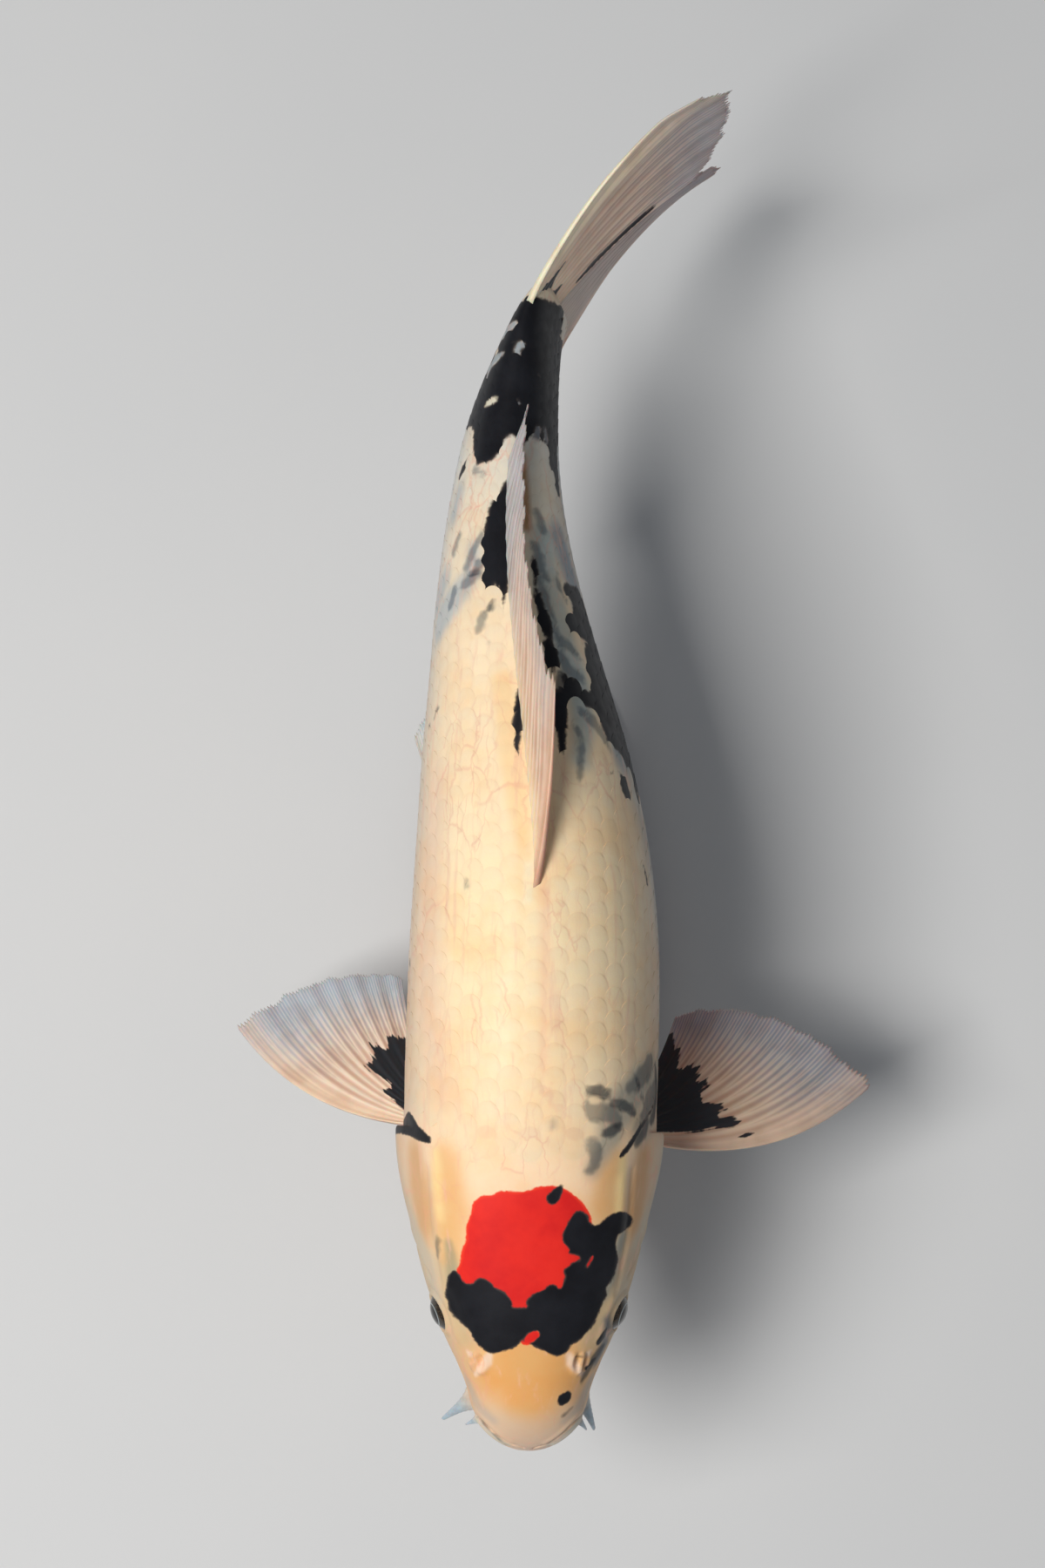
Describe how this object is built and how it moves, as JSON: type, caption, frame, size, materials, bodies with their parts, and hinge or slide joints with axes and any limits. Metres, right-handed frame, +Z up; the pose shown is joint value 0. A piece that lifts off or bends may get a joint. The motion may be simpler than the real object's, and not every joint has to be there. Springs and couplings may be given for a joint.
{
  "type": "koi carp",
  "caption": "Life-size koi carp in a swimming pose, its tail swept to one side and its fins spread, held over an oval plinth by short rods.",
  "frame": {"origin": "centre of the underside of the plinth", "axes": "+Y from the snout towards the tail, +X towards the fish's left side, +Z up"},
  "size_m": [0.2612, 0.5321, 0.2243],
  "materials": {
    "white_skin": "wet gloss",
    "head_skin": "wet gloss",
    "fin_membrane": "satin",
    "eye": "polished",
    "walnut": "satin",
    "brushed_steel": "brushed",
    "saddle_pad": "matt"
  },
  "bodies": {
    "root": {"anal_fin": "fin_membrane", "barbel_corner_left": "head_skin", "barbel_corner_right": "head_skin", "barbel_lip_left": "head_skin", "barbel_lip_right": "head_skin", "dorsal_fin": "fin_membrane", "eye_left": "eye", "eye_right": "eye", "gill_cover_left": "head_skin", "gill_cover_right": "head_skin", "head": "head_skin", "lower_jaw": "head_skin", "pectoral_fin_left": "fin_membrane", "pectoral_fin_right": "fin_membrane", "pelvic_fin_left": "fin_membrane", "pelvic_fin_right": "fin_membrane", "stand_base": "walnut", "stand_foot_front": "brushed_steel", "stand_foot_rear": "brushed_steel", "stand_rod_front": "brushed_steel", "stand_rod_rear": "brushed_steel", "stand_saddle_front": "saddle_pad", "stand_saddle_rear": "saddle_pad", "tail_fin_lower": "fin_membrane", "tail_fin_upper": "fin_membrane", "tail_stalk": "white_skin", "trunk_front": "white_skin", "trunk_rear": "white_skin"}
  },
  "joints": []
}
